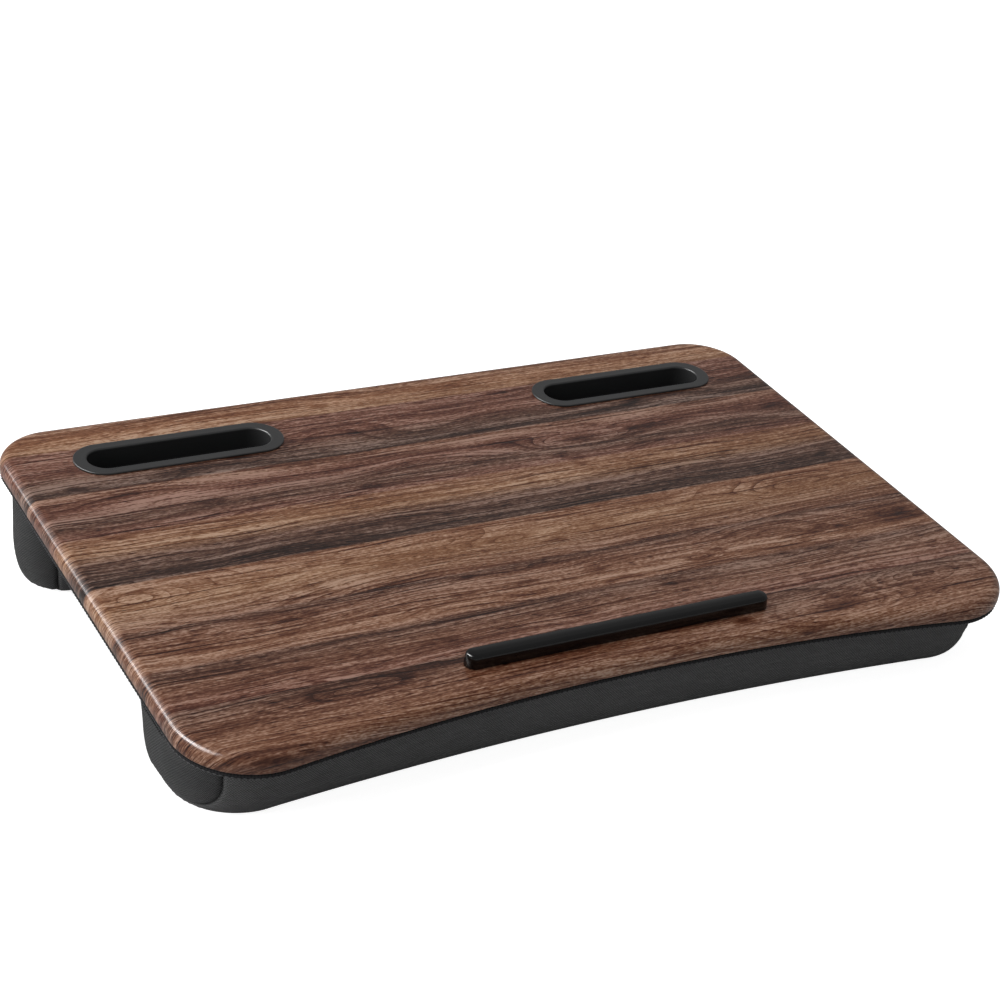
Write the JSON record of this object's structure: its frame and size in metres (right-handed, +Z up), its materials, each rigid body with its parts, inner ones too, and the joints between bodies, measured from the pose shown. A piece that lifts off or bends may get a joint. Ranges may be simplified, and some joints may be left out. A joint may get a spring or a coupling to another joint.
{
  "type": "lap desk",
  "caption": "Lap desk with a walnut-look deck, recessed slot trays at the rear corners, a low stop bar along the hollow front edge and sewn fabric cushions underneath.",
  "frame": {"origin": "centre of the bounding box in plan, on the floor plane that both cushions rest on", "axes": "+X to the user's right, +Y away from the user towards the rear edge, +Z up"},
  "size_m": [0.6, 0.3966, 0.0914],
  "materials": {
    "walnut_film": "satin walnut-look film wrapped over the board",
    "tray_plastic": "matte dark grey",
    "bar_plastic": "semi-gloss black",
    "black_steel": "black",
    "base_board": "matte black",
    "base_weave": "black plain weave",
    "binding_tape": "black sewn binding tape",
    "cushion_weave": "charcoal diagonal weave",
    "cushion_end_weave": "lighter charcoal diagonal weave",
    "polyester_fill": "loose white filling"
  },
  "bodies": {
    "root": {"deck_board": "walnut_film", "left_slot_tray": "tray_plastic", "right_slot_tray": "tray_plastic", "stop_bar": "bar_plastic", "stop_bar_screw_left": "black_steel", "stop_bar_screw_right": "black_steel", "base_panel": "base_board", "base_cloth": "base_weave", "edge_binding": "binding_tape", "base_screw_rear_left": "black_steel", "base_screw_rear_middle": "black_steel", "base_screw_rear_right": "black_steel", "base_screw_front_left": "black_steel", "base_screw_front_middle": "black_steel", "base_screw_front_right": "black_steel", "rear_cushion_cover": "cushion_weave", "rear_cushion_end_left": "cushion_end_weave", "rear_cushion_end_right": "cushion_end_weave", "rear_cushion_fill": "polyester_fill", "front_cushion_cover": "cushion_weave", "front_cushion_end_left": "cushion_end_weave", "front_cushion_end_right": "cushion_end_weave", "front_cushion_fill": "polyester_fill"}
  },
  "joints": []
}
